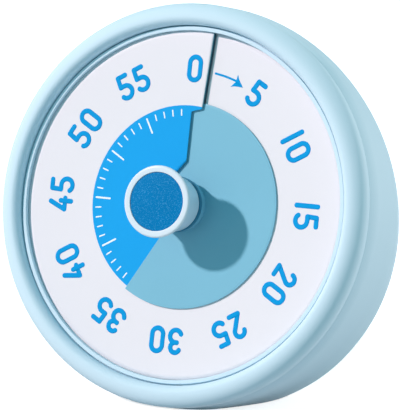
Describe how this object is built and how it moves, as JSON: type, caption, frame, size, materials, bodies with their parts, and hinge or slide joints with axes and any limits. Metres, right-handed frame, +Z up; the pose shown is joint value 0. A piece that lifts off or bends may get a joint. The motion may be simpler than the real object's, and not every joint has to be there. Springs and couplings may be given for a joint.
{
  "type": "visual countdown timer",
  "caption": "Round desk timer with a leaning dial: turning the knob draws a coloured disc out of a slit to show the minutes set, and a geared stepping motor draws it back in.",
  "frame": {"origin": "on the base plane, straight below the middle of the dial", "axes": "+X to the right of someone who reads the dial, +Y to the back, +Z up"},
  "size_m": [0.089, 0.0319, 0.0859],
  "materials": {
    "case_blue": "pale blue ABS with a soft gloss",
    "ring_blue": "pale blue ABS, a shade deeper",
    "dial_white": "cool white, satin",
    "inner_white": "plain moulded, unseen",
    "disc_blue": "light blue, soft gloss",
    "knob_ice": "very pale blue, soft gloss",
    "inlay_blue": "blue with a fine sparkle",
    "steel": "plated steel",
    "gear_plastic": "natural acetal",
    "rotor_dark": "plastic-bonded magnet",
    "motor_iron": "stamped soft iron",
    "copper": "enamelled copper wire, shown as one solid",
    "board_green": "glass-fibre board",
    "chip_black": "moulded epoxy",
    "slider_dark": "dark moulded cap",
    "buzzer_brass": "thin brass sounder plate",
    "cell_jacket": "printed cell jacket, plain dark grey"
  },
  "bodies": {
    "case": {"front_bezel": "case_blue", "rear_case": "case_blue", "dial_ring": "ring_blue", "dial_plate": "dial_white", "chassis": "inner_white", "train_pins": "steel", "stator": "motor_iron", "coil_bobbin": "gear_plastic", "coil_winding": "copper", "movement_cover": "inner_white", "movement_screws": "steel", "circuit_board": "board_green", "crystal_and_chip": "chip_black", "volume_switch": "steel", "buzzer": "buzzer_brass", "battery": "cell_jacket", "battery_button": "steel", "positive_contact": "steel", "negative_contact": "steel", "case_screws": "steel"},
    "knob": {"knob": "knob_ice", "knob_inlay": "inlay_blue", "arbor": "steel", "time_wheel": "gear_plastic", "clutch_spring": "steel"},
    "disc": {"time_disc": "disc_blue", "disc_hub": "disc_blue"},
    "second_wheel": {"second_wheel": "gear_plastic"},
    "third_wheel": {"third_wheel": "gear_plastic"},
    "rotor": {"rotor": "rotor_dark"},
    "volume_slider": {"volume_slider": "slider_dark"},
    "battery_door": {"battery_door": "case_blue"}
  },
  "joints": [
    {"name": "knob_spin", "type": "hinge", "parent": "case", "child": "knob", "pos_m": [0, 0, 0.043], "axis": [0, 0.9724, -0.2334], "range_deg": [-210, 150]},
    {"name": "disc_rise", "type": "slide", "parent": "knob", "child": "disc", "axis": [0, -0.9724, 0.2334], "range_m": [-0.00058, 0.00042]},
    {"name": "second_spin", "type": "hinge", "parent": "case", "child": "second_wheel", "pos_m": [0.009, 0.00583, 0.0416], "axis": [0, 0.9724, -0.2334], "range_deg": [-751, 1051]},
    {"name": "third_spin", "type": "hinge", "parent": "case", "child": "third_wheel", "pos_m": [0.00525, 0.00832, 0.04768], "axis": [0, 0.9724, -0.2334], "range_deg": [-4202, 3002]},
    {"name": "rotor_spin", "type": "hinge", "parent": "case", "child": "rotor", "pos_m": [-0.00206, 0.01066, 0.04886], "axis": [0, 0.9724, -0.2334], "range_deg": [-12005, 16805]},
    {"name": "door_hinge", "type": "hinge", "parent": "case", "child": "battery_door", "pos_m": [0, 0.01675, 0.00898], "axis": [-1, 0, 0], "range_deg": [0, 75]},
    {"name": "volume_slide", "type": "slide", "parent": "case", "child": "volume_slider", "axis": [1, 0, 0], "range_m": [0, 0.004]}
  ],
  "couplings": [
    {"joint": "disc_rise", "follows": "knob_spin", "m_per_rad": 0.00015915},
    {"joint": "second_spin", "follows": "knob_spin", "ratio": -5},
    {"joint": "third_spin", "follows": "knob_spin", "ratio": 20},
    {"joint": "rotor_spin", "follows": "knob_spin", "ratio": -80}
  ]
}
